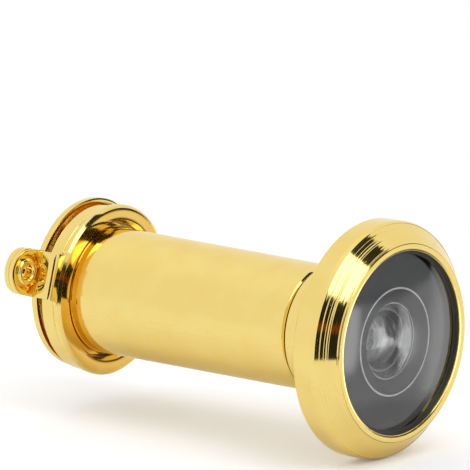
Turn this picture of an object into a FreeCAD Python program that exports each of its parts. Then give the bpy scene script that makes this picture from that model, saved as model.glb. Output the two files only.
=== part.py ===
"""Door viewer with a swinging privacy cover, as separate solids at real size.

Frame: millimetres, the barrel's axis is Y, outdoors is -Y, indoors is +Y, +Z is up.
The origin is on the axis, in the plane where the bezel seats on the door.
Every turned piece is an outline of (radius, y) corners spun round the Y axis.
"""
import FreeCAD, Part
import math
import os

# --- the door and the screw travel ----------------------------------------------------
door_thickness = 35.2        # between the bezel's seat and the carrier ring, as set here
thread_diameter = 12.0       # outside diameter of the barrel's thread
thread_clearance = 0.10      # radial, between the thread's crests and the sleeve's bore

# --- fits and clearances --------------------------------------------------------------
fit = 0.03                   # radial clearance of a piece seated in a pocket
running_fit = 0.15           # radial clearance of the carrier ring on the sleeve
swing_gap = 0.05             # the cover's ear to what lies on each side of it
thrust_gap = 0.03            # the slip washer to what lies on each side of it
flange_clearance = 0.25      # the lug's arm to the flange that turns beside it
overrun = 0.1                # how far a cutting shape reaches past the piece that it cuts

# --- bezel ----------------------------------------------------------------------------
bezel_diameter = 26.0
bezel_side_height = 2.5      # from the door seat to the foot of the shoulder
shoulder_inset = 0.17        # the front slope's foot lies this far inside the bezel's side
shoulder_height = 0.42
crest_width = 0.05           # narrow face between the front ring and the front slope
crest_fall = 0.02            # the crest's outer edge lies this much behind its inner one
bezel_floor = 0.9            # metal between the lens pocket and the door seat
bezel_edge_round = 0.35
bezel_wall = 2.2             # round the front pocket, which the front ring closes
slope_groove_count = 4
slope_groove_depth = 0.012
hub_length = 6.0
hub_seat_width = 0.4         # the step in the hub where the barrel's end stops
hub_edge_chamfer = 0.2

# --- front ring and seal --------------------------------------------------------------
front_ring_width = 0.75
front_ring_thickness = 0.4
front_ring_dish = 0.06       # the ring's face falls this much towards the opening
lip_round = 0.1
seal_thickness = 0.4
seal_step_height = 0.2       # the narrower part of the seal, next to the lens
seal_step_width = 0.4        # the seal's narrower part reaches this far past the front ring
seal_inset = 0.1             # the seal's wider part stands this far inside the opening

# --- front lens -----------------------------------------------------------------------
objective_edge_thickness = 1.3
objective_dome = 0.75
objective_hollow_diameter = 11.7
objective_hollow_depth = 0.6

# --- lens holder and the small lenses -------------------------------------------------
holder_flange_thickness = 1.85
holder_clearance = 0.05      # radial, between the holder's tube and the barrel's bore
holder_wall = 0.7
holder_lip_width = 0.25
holder_lip_thickness = 0.45
holder_taper_depth = 0.2
holder_length = 7.6          # from the face under the front lens to the far end
second_lens_thickness = 1.9
second_lens_dome = 0.5
second_rim_width = 1.22      # flat rim round the second lens's hollow
second_hollow_depth = 1.25
spacer_thickness = 1.3
spacer_width = 0.82
third_lens_thickness = 1.6
third_rim_width = 1.42
third_hollow_depth = 0.5
stop_thickness = 0.3
stop_hole_diameter = 4.4
retaining_ring_thickness = 1.0
retaining_ring_width = 1.22
key_slot_width = 0.9
key_slot_depth = 0.5

# --- threaded barrel ------------------------------------------------------------------
barrel_wall = 0.8            # from the thread's crests to the bore
barrel_insertion = 3.5       # length held inside the hub
barrel_end_margin = 0.2      # barrel's end to the sleeve's inner shoulder
barrel_relief_length = 0.8
barrel_relief_depth = 0.35
barrel_end_chamfer = 0.4

# --- sleeve ---------------------------------------------------------------------------
sleeve_wall = 0.8            # the hub of the bezel has the same outside diameter
sleeve_end_gap = 0.12        # hub's end to the sleeve's end, as set here
sleeve_edge_chamfer = 0.2
flange_overhang = 2.2        # the flange stands out this far from the sleeve
flange_thickness = 1.65
flange_edge_round = 0.2
shoulder_thickness = 0.4
shoulder_width = 1.0         # the shoulder reaches this far in from the sleeve's bore
eyepiece_pocket_step = 0.15  # the pocket is this much wider than the sleeve's bore, all round
coin_slot_width = 1.6
coin_slot_depth = 0.7
coin_slot_inner_margin = 0.45
coin_slot_outer_margin = 0.5

# --- eyepiece -------------------------------------------------------------------------
seat_ring_thickness = 0.3
eyepiece_edge_thickness = 0.8
eyepiece_front_dome = 0.6
eyepiece_back_dome = 0.4
eyepiece_ring_recess = 0.1   # the ring's face lies this far below the flange's
eyepiece_ring_width = 1.42
eyepiece_ring_thickness = 0.8

# --- carrier ring and its lug ---------------------------------------------------------
carrier_overhang = 0.25      # the carrier ring stands out this far past the flange
carrier_thickness = 0.8
carrier_bevel = 0.3
carrier_recess_width = 0.85  # from the sleeve's outside to the edge of the recess
carrier_recess_depth = 0.5
carrier_recess_taper = 0.35  # the recess's wall slopes in by this much over its depth
slip_washer_inset = 0.15     # the slip washer's edge lies this far inside the flange's
slip_washer_thickness = 0.25
lug_angle = 18.0             # degrees above the -X direction
lug_width = 5.1
arm_thickness = 1.4          # beside the flange, in front of the arm's step
arm_step_depth = 0.8
rivet_offset = 2.0           # rivet's axis to the arm's outer face behind its step
arm_step = 0.6               # length of the stepped-in part
arm_bend_round = 0.8         # outside of the bend from the ring's face to the arm
arm_edge_round = 0.25        # edge of the arm's step
lug_root_round = 1.1         # hollow corner between the ring's rim and the lug's side
tab_thickness = 0.5
tab_dish_diameter = 4.2      # the dish round the rivet's rolled end, at the tab's face
tab_dish_floor = 3.1
tab_dish_depth = 0.25

# --- cover and rivet ------------------------------------------------------------------
cover_overhang = 0.15        # the cover stands out this far past the flange
cover_rest_swing = 2.0       # degrees that the cover stands off true when at rest
cover_rim_height = 0.7
cover_wall = 0.35
cover_crown = 0.5
cover_rim_width = 0.55
ear_thickness = 0.6
rivet_shank_diameter = 1.9
rivet_head_diameter = 3.1
rivet_head_height = 0.4
rivet_head_round = 0.28
rivet_roll = 0.3             # rounding of the rolled end, inside and outside
rivet_collar_diameter = 3.0
rivet_collar_height = 0.42
rivet_hollow_diameter = 1.7
rivet_hollow_depth = 1.0
spring_washer_diameter = 3.5
spring_washer_thickness = 0.15

# --- places along the axis, worked out from the sizes above ---------------------------
pocket_floor = -bezel_floor
holder_front = pocket_floor - holder_flange_thickness
objective_edge_front = holder_front - objective_edge_thickness
seal_front = objective_edge_front - seal_thickness
bezel_front = seal_front - front_ring_thickness

second_front = holder_front + holder_lip_thickness
second_back = second_front + second_lens_thickness
third_front = second_back + spacer_thickness
third_back = third_front + third_lens_thickness
stop_back = third_back + stop_thickness
retaining_ring_back = stop_back + retaining_ring_thickness

sleeve_start = hub_length + sleeve_end_gap
carrier_front = door_thickness
carrier_back = carrier_front + carrier_thickness
slip_washer_front = carrier_back + thrust_gap
slip_washer_back = slip_washer_front + slip_washer_thickness
flange_front = slip_washer_back + thrust_gap
flange_back = flange_front + flange_thickness
eyepiece_ring_back = flange_back - eyepiece_ring_recess
eyepiece_ring_front = eyepiece_ring_back - eyepiece_ring_thickness
eyepiece_edge_front = eyepiece_ring_front - eyepiece_edge_thickness
pocket_bottom = eyepiece_edge_front - seat_ring_thickness
shoulder_front = pocket_bottom - shoulder_thickness
barrel_start = hub_length - barrel_insertion
barrel_end = shoulder_front - barrel_end_margin

tab_front = flange_back + swing_gap
tab_back = tab_front + tab_thickness
cover_front = tab_back + swing_gap
ear_back = cover_front + ear_thickness
spring_washer_front = ear_back + swing_gap
rivet_head_front = spring_washer_front + spring_washer_thickness

# --- radii, worked out from the sizes above, each from the piece that it fits ----------
bezel_radius = bezel_diameter / 2
shoulder_radius = bezel_radius - shoulder_inset
pocket_radius = bezel_radius - bezel_wall
opening_radius = pocket_radius - front_ring_width
seal_inner_radius = opening_radius - seal_step_width
objective_hollow_radius = objective_hollow_diameter / 2

thread_radius = thread_diameter / 2
barrel_bore_radius = thread_radius - barrel_wall
hub_bore_radius = thread_radius - hub_seat_width
holder_tube_radius = barrel_bore_radius - holder_clearance
holder_bore_radius = holder_tube_radius - holder_wall
holder_mouth_radius = holder_bore_radius - holder_lip_width
small_lens_radius = holder_bore_radius - fit
second_hollow_radius = small_lens_radius - second_rim_width
third_hollow_radius = small_lens_radius - third_rim_width
spacer_bore_radius = small_lens_radius - spacer_width
retaining_ring_bore_radius = small_lens_radius - retaining_ring_width

sleeve_bore_radius = thread_radius + thread_clearance
sleeve_radius = sleeve_bore_radius + sleeve_wall
flange_radius = sleeve_radius + flange_overhang
shoulder_bore_radius = sleeve_bore_radius - shoulder_width
eyepiece_pocket_radius = sleeve_bore_radius + eyepiece_pocket_step
eyepiece_radius = eyepiece_pocket_radius - fit
eyepiece_ring_bore_radius = eyepiece_radius - eyepiece_ring_width
coin_slot_start = eyepiece_pocket_radius + coin_slot_inner_margin
coin_slot_end = flange_radius - coin_slot_outer_margin

carrier_radius = flange_radius + carrier_overhang
carrier_recess_radius = sleeve_radius + carrier_recess_width
slip_washer_radius = flange_radius - slip_washer_inset
cover_radius = flange_radius + cover_overhang
arm_inner_reach = flange_radius + flange_clearance
arm_front_reach = arm_inner_reach + arm_thickness
arm_back_reach = arm_front_reach - arm_step_depth
lug_reach = arm_back_reach + rivet_offset


def corner_arc(before, corner, after, rounding):
    """Start, middle and end of the arc that rounds one corner of an outline."""
    to_before = (before - corner).normalize()
    to_after = (after - corner).normalize()
    half_angle = to_before.getAngle(to_after) / 2
    setback = rounding / math.tan(half_angle)
    bisector = (to_before + to_after).normalize()
    centre = corner + bisector * (rounding / math.sin(half_angle))
    return corner + to_before * setback, centre - bisector * rounding, corner + to_after * setback


def outline_edges(corners):
    """Edges of a closed outline; a corner is (radius, y) or (radius, y, rounding)."""
    points = [FreeCAD.Vector(corner[0], corner[1], 0) for corner in corners]
    count = len(points)
    starts = []
    ends = []
    arcs = []
    for index, corner in enumerate(corners):
        if len(corner) == 3:
            before = points[index - 1]
            after = points[(index + 1) % count]
            start, middle, end = corner_arc(before, points[index], after, corner[2])
            arcs.append(Part.Arc(start, middle, end).toShape())
        else:
            start = end = points[index]
        starts.append(start)
        ends.append(end)
    lines = [Part.makeLine(ends[index - 1], starts[index]) for index in range(count)]
    return lines + arcs


def spin(edges):
    """Solid of revolution of closed outline edges round the Y axis."""
    face = Part.Face(Part.Wire(Part.__sortEdges__(edges)))
    return face.revolve(FreeCAD.Vector(0, 0, 0), FreeCAD.Vector(0, 1, 0), 360)


def turned(corners):
    return spin(outline_edges(corners))


def ring(outer_diameter, inner_diameter, start, end):
    return turned([
        (inner_diameter / 2, start),
        (outer_diameter / 2, start),
        (outer_diameter / 2, end),
        (inner_diameter / 2, end),
    ])


def dome_edge(radius, rim_y, dome):
    """Arc of a spherical surface from the axis to its rim; a positive dome lies towards +Y."""
    sphere_radius = (radius ** 2 + dome ** 2) / (2 * abs(dome))
    half_angle = math.asin(min(1.0, radius / sphere_radius)) / 2
    sign = math.copysign(1.0, dome)
    middle_radius = sphere_radius * math.sin(half_angle)
    middle_y = rim_y + dome - sign * sphere_radius * (1 - math.cos(half_angle))
    apex = FreeCAD.Vector(0, rim_y + dome, 0)
    middle = FreeCAD.Vector(middle_radius, middle_y, 0)
    rim = FreeCAD.Vector(radius, rim_y, 0)
    return Part.Arc(apex, middle, rim).toShape()


def lens(radius, front, back, front_radius, front_dome, back_radius, back_dome):
    """Lens with flat margins round its two spherical surfaces."""
    corners = [
        (front_radius, front),
        (radius, front),
        (radius, back),
        (back_radius, back),
    ]
    points = [FreeCAD.Vector(r, y, 0) for r, y in corners]
    edges = [Part.makeLine(a, b) for a, b in zip(points, points[1:]) if a.distanceToPoint(b) > 1e-6]
    front_apex = FreeCAD.Vector(0, front + front_dome, 0)
    back_apex = FreeCAD.Vector(0, back + back_dome, 0)
    edges.append(dome_edge(front_radius, front, front_dome))
    edges.append(dome_edge(back_radius, back, back_dome))
    edges.append(Part.makeLine(front_apex, back_apex))
    return spin(edges)


def cylinder_along_y(radius, start, end, x=0.0, z=0.0):
    base = FreeCAD.Vector(x, start, z)
    return Part.makeCylinder(radius, end - start, base, FreeCAD.Vector(0, 1, 0))


def block(x_range, y_range, z_range):
    size = [high - low for low, high in (x_range, y_range, z_range)]
    corner = FreeCAD.Vector(x_range[0], y_range[0], z_range[0])
    return Part.makeBox(size[0], size[1], size[2], corner)


def across_pair(width, inner_radius, outer_radius, start, end):
    """Two slots opposite each other, radial, for a key or a coin."""
    half = width / 2
    right = block((inner_radius, outer_radius), (start, end), (-half, half))
    left = block((-outer_radius, -inner_radius), (start, end), (-half, half))
    return right.fuse(left)


def turned_to_lug(shape):
    """Swings a shape drawn towards -X round the barrel to where the lug stands."""
    moved = shape.copy()
    moved.rotate(FreeCAD.Vector(0, 0, 0), FreeCAD.Vector(0, 1, 0), lug_angle)
    return moved


def slope_corners(start, end):
    """Corners of the front slope between two (radius, y) places, with shallow turned grooves."""
    run = end[0] - start[0]
    rise = end[1] - start[1]
    length = math.hypot(run, rise)
    inward = (-rise / length, run / length)
    corners = []
    for index in range(slope_groove_count):
        for share, depth in ((0.2, 0.0), (0.5, slope_groove_depth), (0.8, 0.0)):
            along = (index + share) / slope_groove_count
            radius = start[0] + run * along + inward[0] * depth
            y = start[1] + rise * along + inward[1] * depth
            corners.append((radius, y))
    return [start] + corners + [end]


def make_bezel():
    outer = bezel_radius
    shoulder_foot = -bezel_side_height
    crest = (pocket_radius + fit, bezel_front)
    slope_start = (pocket_radius + fit + crest_width, bezel_front + crest_fall)
    slope_end = (shoulder_radius, shoulder_foot - shoulder_height)
    corners = [(pocket_radius + fit, pocket_floor), crest]
    corners += slope_corners(slope_start, slope_end)
    corners += [
        (outer, shoulder_foot),
        (outer, 0.0, bezel_edge_round),
        (sleeve_radius, 0.0),
        (sleeve_radius, hub_length - hub_edge_chamfer),
        (sleeve_radius - hub_edge_chamfer, hub_length),
        (thread_radius + fit, hub_length),
        (thread_radius + fit, barrel_start - fit),
        (hub_bore_radius, barrel_start - fit),
        (hub_bore_radius, pocket_floor),
    ]
    return turned(corners)


def make_front_ring():
    outer = pocket_radius
    inner = opening_radius
    return turned([
        (inner, seal_front),
        (inner, bezel_front + front_ring_dish, lip_round),
        (outer, bezel_front),
        (outer, seal_front),
    ])


def make_lens_seal():
    outer = pocket_radius - fit
    wide = opening_radius - seal_inset
    step = objective_edge_front - seal_step_height
    return turned([
        (wide, seal_front),
        (outer, seal_front),
        (outer, objective_edge_front),
        (seal_inner_radius, objective_edge_front),
        (seal_inner_radius, step),
        (wide, step),
    ])


def make_objective():
    return lens(
        pocket_radius - 2 * fit, objective_edge_front, holder_front,
        seal_inner_radius - fit, -objective_dome,
        objective_hollow_radius, -objective_hollow_depth,
    )


def make_lens_holder():
    mouth = holder_mouth_radius
    bore = holder_bore_radius
    tube = holder_tube_radius
    lip_back = holder_front + holder_lip_thickness
    end = holder_front + holder_length
    return turned([
        (objective_hollow_radius, holder_front),
        (pocket_radius - 2 * fit, holder_front),
        (pocket_radius - 2 * fit, pocket_floor),
        (tube, pocket_floor),
        (tube, end),
        (bore, end),
        (bore, lip_back),
        (mouth, lip_back),
        (mouth, holder_front + holder_taper_depth),
    ])


def make_second_lens():
    return lens(
        small_lens_radius, second_front, second_back,
        holder_mouth_radius, -second_lens_dome,
        second_hollow_radius, -second_hollow_depth,
    )


def make_third_lens():
    return lens(
        small_lens_radius, third_front, third_back,
        third_hollow_radius, third_hollow_depth,
        third_hollow_radius, -third_hollow_depth,
    )


def make_lens_spacer():
    return ring(small_lens_radius * 2, spacer_bore_radius * 2, second_back, third_front)


def make_aperture_ring():
    return ring(small_lens_radius * 2, stop_hole_diameter, third_back, stop_back)


def make_retaining_ring():
    body = ring(small_lens_radius * 2, retaining_ring_bore_radius * 2, stop_back, retaining_ring_back)
    slots = across_pair(
        key_slot_width, retaining_ring_bore_radius - overrun, small_lens_radius + overrun,
        retaining_ring_back - key_slot_depth, retaining_ring_back + overrun,
    )
    return body.cut(slots)


def make_threaded_barrel():
    bore = barrel_bore_radius
    relief = thread_radius - barrel_relief_depth
    return turned([
        (bore, barrel_start),
        (thread_radius, barrel_start),
        (thread_radius, hub_length - fit),
        (relief, hub_length - fit),
        (relief, hub_length + barrel_relief_length - sleeve_end_gap),
        (thread_radius, hub_length + barrel_relief_length),
        (thread_radius, barrel_end - barrel_end_chamfer),
        (thread_radius - barrel_end_chamfer, barrel_end),
        (bore, barrel_end),
    ])


def make_sleeve():
    outer = sleeve_radius
    body = turned([
        (sleeve_bore_radius, sleeve_start),
        (outer - sleeve_edge_chamfer, sleeve_start),
        (outer, sleeve_start + sleeve_edge_chamfer),
        (outer, flange_front),
        (flange_radius, flange_front, flange_edge_round),
        (flange_radius, flange_back, flange_edge_round),
        (eyepiece_pocket_radius, flange_back),
        (eyepiece_pocket_radius, pocket_bottom),
        (shoulder_bore_radius, pocket_bottom),
        (shoulder_bore_radius, shoulder_front),
        (sleeve_bore_radius, shoulder_front),
    ])
    slots = across_pair(
        coin_slot_width, coin_slot_start, coin_slot_end,
        flange_back - coin_slot_depth, flange_back + overrun,
    )
    return body.cut(slots)


def make_eyepiece_seat():
    outer = eyepiece_radius * 2
    return ring(outer, shoulder_bore_radius * 2, pocket_bottom, eyepiece_edge_front)


def make_eyepiece_lens():
    return lens(
        eyepiece_radius, eyepiece_edge_front, eyepiece_ring_front,
        shoulder_bore_radius - fit, -eyepiece_front_dome,
        eyepiece_ring_bore_radius - fit, eyepiece_back_dome,
    )


def make_eyepiece_ring():
    outer = eyepiece_radius
    body = ring(2 * outer, eyepiece_ring_bore_radius * 2, eyepiece_ring_front, eyepiece_ring_back)
    slots = across_pair(
        key_slot_width, eyepiece_ring_bore_radius - overrun, outer + overrun,
        eyepiece_ring_back - key_slot_depth, eyepiece_ring_back + overrun,
    )
    return body.cut(slots)


def make_slip_washer():
    bore = 2 * (sleeve_radius + fit)
    return ring(slip_washer_radius * 2, bore, slip_washer_front, slip_washer_back)


def lug_plate(start, end, radius, reach):
    """Flat tongue with a round end, drawn towards -X between two places along the barrel."""
    tongue = block((-lug_reach, -reach), (start, end), (-radius, radius))
    return tongue.fuse(cylinder_along_y(radius, start, end, x=-lug_reach))


def make_carrier_ring():
    outer = carrier_radius
    hole = sleeve_radius + running_fit
    recess = carrier_recess_radius
    disc = turned([
        (hole, carrier_front + carrier_recess_depth),
        (recess - carrier_recess_taper, carrier_front + carrier_recess_depth),
        (recess, carrier_front),
        (outer - carrier_bevel, carrier_front),
        (outer, carrier_front + carrier_bevel),
        (outer, carrier_back),
        (hole, carrier_back),
    ])
    half = lug_width / 2
    step_y = tab_front - arm_step
    rows = (-half, half)
    root = -outer + carrier_bevel
    arm_front = carrier_front + carrier_bevel
    front_arm = block((-arm_front_reach, root), (arm_front, carrier_back), rows)
    middle_arm = block((-arm_front_reach, -arm_inner_reach), (carrier_back, step_y), rows)
    back_arm = block((-arm_back_reach, -arm_inner_reach), (step_y, tab_back), rows)
    arm = front_arm.fuse([middle_arm, back_arm, make_tab()]).removeSplitter()
    arm = rounded_arm(arm, step_y, arm_edge_round)
    arm = rounded_arm(arm, arm_front, arm_bend_round)
    arm = arm.fuse(lug_root(outer, half, arm_front))
    return disc.fuse(turned_to_lug(arm)).removeSplitter()


def lug_root(rim, half, start):
    """Web that fills the hollow corners between the ring's rim and the lug's two sides."""
    across = half + lug_root_round
    centre_x = -math.sqrt((rim + lug_root_round) ** 2 - across ** 2)
    share = rim / (rim + lug_root_round)
    to_middle = FreeCAD.Vector(centre_x * (share - 1), 0, across * (share - 1) - lug_root_round)
    to_middle = to_middle.normalize() * lug_root_round
    middle_x = centre_x + to_middle.x
    middle_z = across + to_middle.z
    above = [(centre_x * share, across * share), (middle_x, middle_z), (centre_x, half)]
    upper = [FreeCAD.Vector(x, start, z) for x, z in above]
    lower = [FreeCAD.Vector(x, start, -z) for x, z in above]
    edges = [
        Part.Arc(*upper).toShape(),
        Part.makeLine(upper[2], lower[2]),
        Part.Arc(*lower[::-1]).toShape(),
        Part.makeLine(lower[0], upper[0]),
    ]
    face = Part.Face(Part.Wire(edges))
    return face.extrude(FreeCAD.Vector(0, carrier_back - start, 0))


def make_tab():
    """The lug's tongue, dished round the rivet and drilled for it."""
    plate = lug_plate(tab_front, tab_back, lug_width / 2, arm_inner_reach)
    base = FreeCAD.Vector(-lug_reach, tab_front, 0)
    inward = FreeCAD.Vector(0, 1, 0)
    dish = Part.makeCone(tab_dish_diameter / 2, tab_dish_floor / 2, tab_dish_depth, base, inward)
    rivet_hole = rivet_shank_diameter / 2 + fit
    through = cylinder_along_y(rivet_hole, tab_front - overrun, tab_back + overrun, x=-lug_reach)
    return plate.cut(dish.fuse(through))


def rounded_arm(arm, place, rounding):
    """Rounds the outer edge that runs across the arm at one place along the barrel."""
    chosen = []
    for edge in arm.Edges:
        ends = [vertex.Point for vertex in edge.Vertexes]
        if len(ends) != 2:
            continue
        runs_across = abs(ends[0].z - ends[1].z) > lug_width / 2
        on_outer_face = abs(ends[0].x + arm_front_reach) < fit
        if runs_across and on_outer_face and abs(ends[0].y - place) < fit:
            chosen.append(edge)
    return arm.makeFillet(rounding, chosen)


def make_cover_disc():
    outer = cover_radius
    rim_back = cover_front + cover_rim_height
    inside = outer - cover_rim_width
    outside_edges = [
        Part.makeLine(FreeCAD.Vector(inside, cover_front, 0), FreeCAD.Vector(outer, cover_front, 0)),
        Part.makeLine(FreeCAD.Vector(outer, cover_front, 0), FreeCAD.Vector(outer, rim_back, 0)),
        dome_edge(outer, rim_back, cover_crown),
        dome_edge(inside, rim_back - cover_wall, cover_crown),
        Part.makeLine(
            FreeCAD.Vector(inside, rim_back - cover_wall, 0), FreeCAD.Vector(inside, cover_front, 0)
        ),
        Part.makeLine(
            FreeCAD.Vector(0, rim_back - cover_wall + cover_crown, 0),
            FreeCAD.Vector(0, rim_back + cover_crown, 0),
        ),
    ]
    disc = spin(outside_edges)
    ear = lug_plate(cover_front, ear_back, lug_width / 2, outer - cover_rim_width / 2)
    pivot_hole = rivet_shank_diameter / 2 + swing_gap
    hole = cylinder_along_y(pivot_hole, cover_front - overrun, ear_back + overrun, x=-lug_reach)
    cover = disc.fuse(ear).cut(hole).removeSplitter()
    pivot = FreeCAD.Vector(-lug_reach, 0, 0)
    cover.rotate(pivot, FreeCAD.Vector(0, 1, 0), -cover_rest_swing)
    return turned_to_lug(cover)


def make_cover_rivet():
    shank = rivet_shank_diameter / 2
    collar = rivet_collar_diameter / 2
    hollow = rivet_hollow_diameter / 2
    collar_back = tab_front + tab_dish_depth
    collar_front = collar_back - rivet_collar_height
    head_back = rivet_head_front + rivet_head_height
    body = turned([
        (0.0, collar_front + rivet_hollow_depth),
        (hollow, collar_front + rivet_hollow_depth),
        (hollow, collar_front, rivet_roll),
        (collar, collar_front, rivet_roll),
        (collar, collar_back),
        (shank, collar_back),
        (shank, rivet_head_front),
        (rivet_head_diameter / 2, rivet_head_front),
        (rivet_head_diameter / 2, head_back, rivet_head_round),
        (0.0, head_back),
    ])
    body.translate(FreeCAD.Vector(-lug_reach, 0, 0))
    return turned_to_lug(body)


def make_rivet_washer():
    bore = rivet_shank_diameter + 2 * fit
    washer = ring(spring_washer_diameter, bore, spring_washer_front, rivet_head_front)
    washer.translate(FreeCAD.Vector(-lug_reach, 0, 0))
    return turned_to_lug(washer)


pieces = {
    "bezel": make_bezel,
    "front_ring": make_front_ring,
    "lens_seal": make_lens_seal,
    "objective_lens": make_objective,
    "lens_holder": make_lens_holder,
    "second_lens": make_second_lens,
    "lens_spacer": make_lens_spacer,
    "third_lens": make_third_lens,
    "aperture_ring": make_aperture_ring,
    "lens_retaining_ring": make_retaining_ring,
    "threaded_barrel": make_threaded_barrel,
    "sleeve": make_sleeve,
    "eyepiece_seat": make_eyepiece_seat,
    "eyepiece_lens": make_eyepiece_lens,
    "eyepiece_ring": make_eyepiece_ring,
    "slip_washer": make_slip_washer,
    "carrier_ring": make_carrier_ring,
    "cover_disc": make_cover_disc,
    "cover_rivet": make_cover_rivet,
    "rivet_washer": make_rivet_washer,
}

os.makedirs("parts", exist_ok=True)
for name, make in pieces.items():
    shape = make()
    shape.exportStep(f"parts/{name}.step")
    print(f"{name}: {len(shape.Solids)} solid, {shape.Volume:.1f} cubic mm, valid {shape.isValid()}")
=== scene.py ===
# %% [markdown]
# # A door viewer in gold plate and glass
# The finished part is a wide-angle door viewer: a domed lens in a bevelled round bezel, a barrel
# that passes through the door, and a disc cover that swings on a riveted lug indoors.
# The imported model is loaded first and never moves. Every new piece is built around it.

# %% Load the frame
import bmesh
import bpy
import math
import random
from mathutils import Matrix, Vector


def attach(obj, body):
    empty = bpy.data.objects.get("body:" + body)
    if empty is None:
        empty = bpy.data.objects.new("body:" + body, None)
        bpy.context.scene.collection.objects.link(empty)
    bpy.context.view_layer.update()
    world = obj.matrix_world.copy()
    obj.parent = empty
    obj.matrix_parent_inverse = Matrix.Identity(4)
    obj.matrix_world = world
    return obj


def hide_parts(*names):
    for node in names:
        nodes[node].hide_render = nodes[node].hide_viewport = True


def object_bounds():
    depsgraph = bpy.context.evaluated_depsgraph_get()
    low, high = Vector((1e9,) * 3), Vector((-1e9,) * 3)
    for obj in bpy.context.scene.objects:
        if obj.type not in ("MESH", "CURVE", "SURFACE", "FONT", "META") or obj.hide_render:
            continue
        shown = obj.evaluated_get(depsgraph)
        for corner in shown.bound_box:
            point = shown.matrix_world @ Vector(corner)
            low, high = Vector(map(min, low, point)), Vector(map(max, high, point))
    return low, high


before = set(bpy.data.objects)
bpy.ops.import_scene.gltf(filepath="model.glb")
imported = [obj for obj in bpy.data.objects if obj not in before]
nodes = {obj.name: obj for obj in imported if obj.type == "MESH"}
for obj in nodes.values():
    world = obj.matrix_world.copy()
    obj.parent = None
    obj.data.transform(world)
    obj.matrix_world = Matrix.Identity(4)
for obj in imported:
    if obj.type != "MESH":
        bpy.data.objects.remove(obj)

cad_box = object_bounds()
mm = 0.001
print("pieces in the frame:", len(nodes))

# %% [markdown]
# ## Shader maths as Python
# A node tree is a sum written with boxes and wires. One small class lets it be written as a sum
# again: `1 - mask * 0.5` adds its two Math nodes by itself. The same class works in material,
# world and geometry trees, because the Math node is the same in all of them.

# %% One class for sockets
class Wire:
    """A node's output that can be used in sums."""

    def __init__(self, socket):
        self.socket = socket
        self.tree = socket.id_data

    def math(self, operation, *others):
        values = [self, *others]
        settings = {"operation": operation}
        return add_node(self.tree, "ShaderNodeMath", settings, dict(enumerate(values)))

    def __add__(self, other):
        return self.math("ADD", other)

    def __sub__(self, other):
        return self.math("SUBTRACT", other)

    def __mul__(self, other):
        return self.math("MULTIPLY", other)

    def __truediv__(self, other):
        return self.math("DIVIDE", other)

    def __rsub__(self, other):
        return (self * -1.0).math("ADD", other)

    __radd__ = __add__
    __rmul__ = __mul__

    def between(self, low, high):
        """0 at low, 1 at high, with a smooth rise between them."""
        settings = {"interpolation_type": "SMOOTHSTEP"}
        inputs = {"Value": self, "From Min": low, "From Max": high}
        return add_node(self.tree, "ShaderNodeMapRange", settings, inputs)


def add_node(tree, kind, settings=None, inputs=None, output=0):
    """Adds a node, applies its settings and fills its sockets.

    Returns one of its outputs, or the node itself when output is None.
    """
    node = tree.nodes.new(kind)
    for name, value in (settings or {}).items():
        setattr(node, name, value)
    for name, value in (inputs or {}).items():
        if isinstance(value, Wire):
            tree.links.new(value.socket, node.inputs[name])
        elif value is not None:
            node.inputs[name].default_value = value
    return node if output is None else Wire(node.outputs[output])


print("Wire adds Math nodes for", "+ - * /")

# %% [markdown]
# ## The camera
# The camera looks from outdoors and from the left, a little from above. A long lens from two
# metres away keeps the barrel's two ends nearly the same size, as a maker's catalogue does.

# %% Camera
aim = Vector((2.344, 20.144, 7.911)) * mm
camera_azimuth = math.radians(-51.17)
camera_elevation = math.radians(13.0)
camera_distance = 1.98658
frame_width_at_aim = 0.050916


def add_camera():
    camera = bpy.data.objects.new("camera", bpy.data.cameras.new("camera"))
    bpy.context.scene.collection.objects.link(camera)
    level = math.cos(camera_elevation)
    back = Vector((
        math.sin(camera_azimuth) * level,
        -math.cos(camera_azimuth) * level,
        math.sin(camera_elevation),
    ))
    camera.location = aim + back * camera_distance
    camera.rotation_mode = "QUATERNION"
    camera.rotation_quaternion = (-back).to_track_quat("-Z", "Y")
    camera.data.lens = camera_distance / frame_width_at_aim * camera.data.sensor_width
    camera.data.clip_start = camera_distance / 2
    camera.data.clip_end = camera_distance * 2
    bpy.context.scene.camera = camera
    return camera


camera = add_camera()
print("camera lens, mm:", round(camera.data.lens))

# %% [markdown]
# ## A white tent with dark gaps
# Polished metal has no look of its own: it shows the room. A product like this is lit in a white
# tent, so most of the gold reflects plain white and looks pale yellow. The gaps between the white
# panels, and the place where the camera stands, reflect as crisp dark bands, and they are what
# makes the metal read as metal. Real panels could be built round the object, but they would stand
# in each other's way. So the room is painted by direction, in degrees round the object, and each
# light or dark place is one soft-edged rectangle of directions.

# %% Directions and panels
def room_angles(tree):
    """Azimuth from -Y towards -X, and elevation, of a direction, in degrees."""
    direction = add_node(tree, "ShaderNodeTexCoord", output="Generated")
    parts = add_node(tree, "ShaderNodeSeparateXYZ", None, {0: direction}).socket.node
    x, y, z = [Wire(output) for output in parts.outputs]
    azimuth = (x * -1.0).math("ARCTAN2", y * -1.0).math("DEGREES")
    elevation = z.math("ARCSINE").math("DEGREES")
    return azimuth, elevation


def panel(angles, azimuth, half_width, elevation, half_height, softness=1.5):
    """Mask of a rectangular panel or gap in the room."""
    across = (angles[0] - azimuth).math("ABSOLUTE")
    up = (angles[1] - elevation).math("ABSOLUTE")
    inside_across = 1 - across.between(half_width - softness, half_width + softness)
    inside_up = 1 - up.between(half_height - softness, half_height + softness)
    return inside_across * inside_up


def mixed(tree, share, first, second, kind="RGBA"):
    """Blend of two colours, or of two numbers with kind FLOAT."""
    first_input, output = {"FLOAT": (2, 0), "RGBA": (6, 2)}[kind]
    inputs = {0: share, first_input: first, first_input + 1: second}
    return add_node(tree, "ShaderNodeMix", {"data_type": kind}, inputs, output)


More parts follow.
